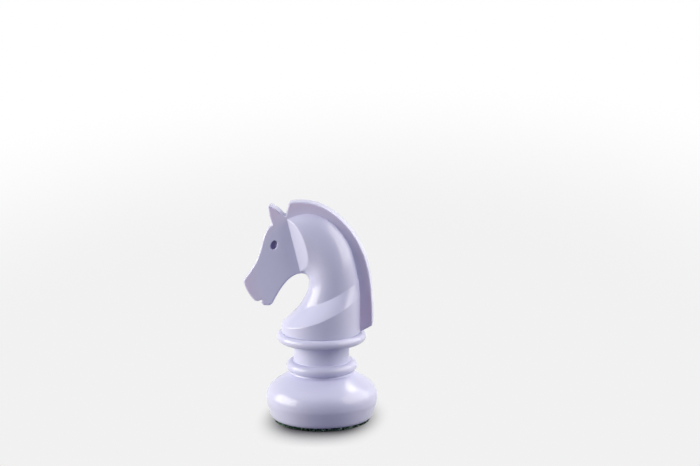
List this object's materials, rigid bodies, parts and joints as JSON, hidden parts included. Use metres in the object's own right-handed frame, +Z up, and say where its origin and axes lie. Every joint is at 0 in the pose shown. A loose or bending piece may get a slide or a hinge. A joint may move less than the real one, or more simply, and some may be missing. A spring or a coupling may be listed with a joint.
{
  "type": "giant chess piece",
  "caption": "Garden chess knight: a hollow plastic horse's head that unscrews from a weighted, felt-footed pedestal.",
  "frame": {"origin": "centre of the felt's underside, on the turned axis of the pedestal", "axes": "+Z up along the turned axis, the horse faces -X, Y = 0 is its plane of symmetry"},
  "size_m": [0.2574, 0.2158, 0.432],
  "materials": {
    "gloss_shell": "high gloss, lavender white",
    "inner_plastic": "as moulded",
    "felt": "dark green wool felt",
    "ballast_iron": "rough cast",
    "steel": "zinc plated",
    "rubber": "matt"
  },
  "bodies": {
    "pedestal": {"foot_shell": "gloss_shell", "stem": "gloss_shell", "base_plate": "inner_plastic", "felt_pad": "felt", "ballast_pad": "rubber", "ballast_disc": "ballast_iron", "ballast_washer": "steel", "ballast_nut": "steel", "ballast_bolt": "steel", "base_screw_1": "steel", "base_screw_2": "steel", "base_screw_3": "steel", "base_screw_4": "steel", "base_screw_5": "steel", "base_screw_6": "steel"},
    "washer": {"seat_washer": "rubber"},
    "bust": {"bust_base": "inner_plastic", "bust_left_half": "gloss_shell", "bust_right_half": "gloss_shell", "bust_screw_1": "steel", "bust_screw_2": "steel", "bust_screw_3": "steel", "bust_screw_4": "steel", "bust_screw_5": "steel", "bust_screw_6": "steel"}
  },
  "joints": [
    {"name": "bust_lift", "type": "slide", "parent": "pedestal", "child": "washer", "axis": [0, 0, 1], "range_m": [0, 0.0302]},
    {"name": "bust_turn", "type": "hinge", "parent": "washer", "child": "bust", "pos_m": [0, 0, 0.1755], "axis": [0, 0, 1], "range_deg": [0, 540]}
  ],
  "couplings": [
    {"joint": "bust_lift", "follows": "bust_turn", "m_per_rad": 0.0031831}
  ]
}
